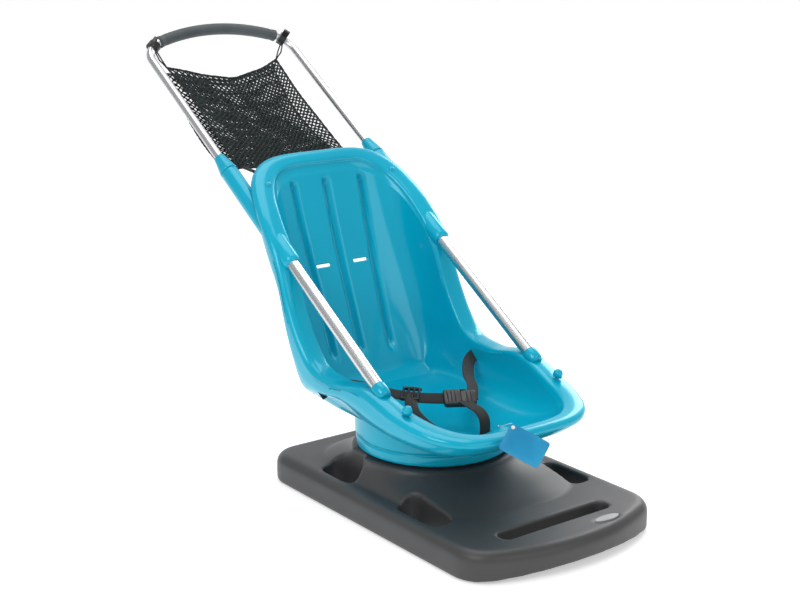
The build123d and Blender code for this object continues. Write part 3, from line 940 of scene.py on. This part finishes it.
# a band's path, and the way its flat side faces at each point of it
ribbon("lapBeltLeft", {"width": 25, "thick": 2.0, "rings": 90, "path": (
    (-204, 84, 214), (-172, 82, 224), (-134, 56, 224), (-96, 14, 214), (-60, -26, 208), (-18, -65, 208)),
    "flat": ((0.1, -0.8, 0.6), (0.15, -0.8, 0.6), (0.2, -0.78, 0.62), (0.2, -0.75, 0.66),
             (0.1, -0.72, 0.7), (0, -0.7, 0.72))}, "lap_belt_left")
ribbon("lapBeltRight", {"width": 25, "thick": 2.0, "rings": 90, "path": (
    (204, 84, 214), (172, 82, 224), (134, 58, 222), (96, 14, 212), (66, -34, 209), (24, -86, 209)),
    "flat": ((-0.1, -0.8, 0.6), (-0.15, -0.8, 0.6), (-0.2, -0.78, 0.62), (-0.2, -0.75, 0.66),
             (-0.1, -0.72, 0.7), (0, -0.7, 0.72))}, "lap_belt_right")
ribbon("crotchStrap", {"width": 25, "thick": 2.0, "rings": 90, "path": (
    (0, -150, 152), (0, -151, 168), (2, -146, 186), (2, -132, 198), (0, -112, 203), (0, -88, 206)),
    "flat": ((0, -1, 0), (0, -1, 0.1), (0, -0.9, 0.4), (0, -0.6, 0.8), (0, -0.3, 1), (0, -0.2, 1))},
    "crotch_strap")
ribbon("beltTail", {"width": 24, "thick": 1.8, "rings": 90, "path": (
    (-62, -20, 210), (-82, -36, 206), (-98, -66, 196), (-104, -100, 188), (-106, -134, 184),
    (-104, -160, 183)), "flat": (
    (0.1, -0.5, 0.9), (-0.2, -0.4, 0.9), (-0.5, -0.2, 0.8), (-0.5, 0, 0.85), (-0.4, 0.1, 0.9),
    (-0.3, 0.1, 0.95))})


blockShape = {"power": 7.0, "crown": 1.5, "columns": 72, "edgeRows": 9}


def mouldedBlock(centre, right, up, out, size, edge):
    # a block with soft edges: rounded loops that shrink towards both faces, the middle a little crowned
    b = blockShape
    lx, ly = evenLoop(b["columns"], b["power"], size[0] / size[1])
    rows = []
    for turn in np.linspace(-math.pi / 2, math.pi / 2, b["edgeRows"]):
        pull = edge * (1 - math.cos(turn))
        deep = (size[2] / 2 - edge) * np.sign(math.sin(turn)) + edge * math.sin(turn)
        rows.append(np.array(centre) + np.outer(lx * (size[0] / 2 - pull), right)
                    + np.outer(ly * (size[1] / 2 - pull), up) + deep * np.array(out))
    top = rows[-1] - centre
    flatPart = top - np.outer(top @ out, out)
    for share in (0.6, 0.2):
        rows.append(centre + flatPart * share + (size[2] / 2 + b["crown"] * (1 - share)) * np.array(out))
    return closedSkin(np.stack(rows))


def blockAxes(way, out):
    # three directions square to each other, the first along the block
    way = np.array(way, float) / np.linalg.norm(way)
    out = np.array(out, float) - way * np.dot(out, way)
    out /= np.linalg.norm(out)
    return way, np.cross(out, way), out


def blockGroup(s):
    # moulded blocks joined, each at its place along, across and out from the centre
    way, across, out = blockAxes(s["way"], s["out"])
    parts = []
    for place, size, edge in s["blocks"]:
        spot = np.array(s["centre"], float) + way * place[0] + across * place[1] + out * place[2]
        parts.append(mouldedBlock(spot, way, across, out, size, edge))
    return joinShapes(parts)


# two halves, two arms at the sides, three ribs on one half and two bars on the other
buckleShape = {"centre": (0, -76, 208), "way": (0.85, -0.5, 0), "out": (0, -0.55, 0.85), "blocks": (
    ((-13, 0, 0), (34, 38, 12), 3.4), ((17, 0, 0), (30, 33, 10.5), 3.2),
    ((6, -17.5, 0), (20, 5.5, 8), 2.2), ((6, 17.5, 0), (20, 5.5, 8), 2.2),
    ((-22, 0, 6.2), (3, 27, 2.6), 1.1), ((-15, 0, 6.2), (3, 27, 2.6), 1.1),
    ((-8, 0, 6.2), (3, 27, 2.6), 1.1),
    ((14, 0, 5.4), (3.6, 24, 2.8), 1.2), ((22, 0, 5.4), (3.6, 24, 2.8), 1.2))}
p, f = blockGroup(buckleShape)
buckle = addPiece("harnessBuckle", p, f, "seat", partBlack)
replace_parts(buckle, "harness_buckle")
# a frame of two rails and four bars, the bars a little raised
slideShape = {"centre": (-64, -12, 212), "way": (0.66, -0.74, 0), "out": (0.1, -0.6, 0.8), "blocks": (
    ((0, -15, 0), (36, 5, 8), 2), ((0, 15, 0), (36, 5, 8), 2),
    ((-15, 0, 2), (4.4, 30, 6), 1.8), ((-5, 0, 2), (4.4, 30, 6), 1.8),
    ((5, 0, 2), (4.4, 30, 6), 1.8), ((15, 0, 2), (4.4, 30, 6), 1.8))}
p, f = blockGroup(slideShape)
slide = addPiece("beltAdjuster", p, f, "seat", partBlack)
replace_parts(slide, "belt_adjuster")
print("harness ready")


# hang tag, left blank
tagShape = {"centre": (-55, -320, 198), "wide": 76, "tall": 50, "turn": 28, "eye": (-32, 19), "bow": 2.2,
            "right": (0.8, -0.6, 0.0), "out": (-0.58, -0.77, 0.25), "columns": 96, "power": 14,
            "faces": ((0.1, 0.6), (0.6, 0.6), (0.985, 0.6), (1.0, 0.35), (1.0, -0.35), (0.985, -0.6),
                      (0.6, -0.6), (0.1, -0.6)),
            "eyelet": ((0.2, 0.3), (0.2, 3.2), (1.2, 3.4), (2.4, 3.2), (2.6, 2.2), (2.4, 0.3)),
            "eyeletBack": 2.4, "eyeletSides": 32}
stringShape = {"radius": 0.7, "sides": 10, "rings": 60, "over": (-46, -268, 222), "rise": 4, "path": (
    (-46, -262, 218.0), (-30, -235, 205), (-14, -205, 192), (0, -188, 186))}


def tagCard(s):
    # a thin card with round corners: a rounded loop shrunk to its middle on both faces
    right, out = np.array(s["right"]), np.array(s["out"])
    out /= np.linalg.norm(out)
    up = np.cross(out, right)
    turn = math.radians(-s["turn"])
    across = right * math.cos(turn) + up * math.sin(turn)
    upright = -right * math.sin(turn) + up * math.cos(turn)
    lx, ly = evenLoop(s["columns"], s["power"], s["wide"] / s["tall"])
    rows = []
    for shrink, thick in s["faces"]:
        bow = s["bow"] * (lx * shrink) ** 2
        rows.append(np.array(s["centre"]) + across * (lx * s["wide"] / 2 * shrink)[:, None]
                    + upright * (ly * s["tall"] / 2 * shrink)[:, None] + out * (thick - bow)[:, None])
    eye = np.array(s["centre"]) + across * s["eye"][0] + upright * s["eye"][1]
    return closedSkin(np.stack(rows)), eye, out


(p, f), tagEye, tagOut = tagCard(tagShape)
tag = addPiece("hangTag", p, f, "seat", tagBlue)
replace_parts(tag, "hang_tag")
p, f = turnedShape(tagEye - tagOut * tagShape["eyeletBack"], tagOut, tagShape["eyelet"],
                   tagShape["eyeletSides"])
addPiece("tagEyelet", p, f, "seat", stringWhite)
# the string rises from the eye, then runs back into the tub
above = tagEye * 0.55 + np.array(stringShape["over"]) * 0.45 + np.array([0, 0, stringShape["rise"]])
stringPath = softPath([tagEye, above, *stringShape["path"]], stringShape["rings"])
p, f = roundRod(stringPath, stringShape["radius"], stringShape["sides"])
addPiece("tagString", p, f, "seat", stringWhite)
print("tag ready")
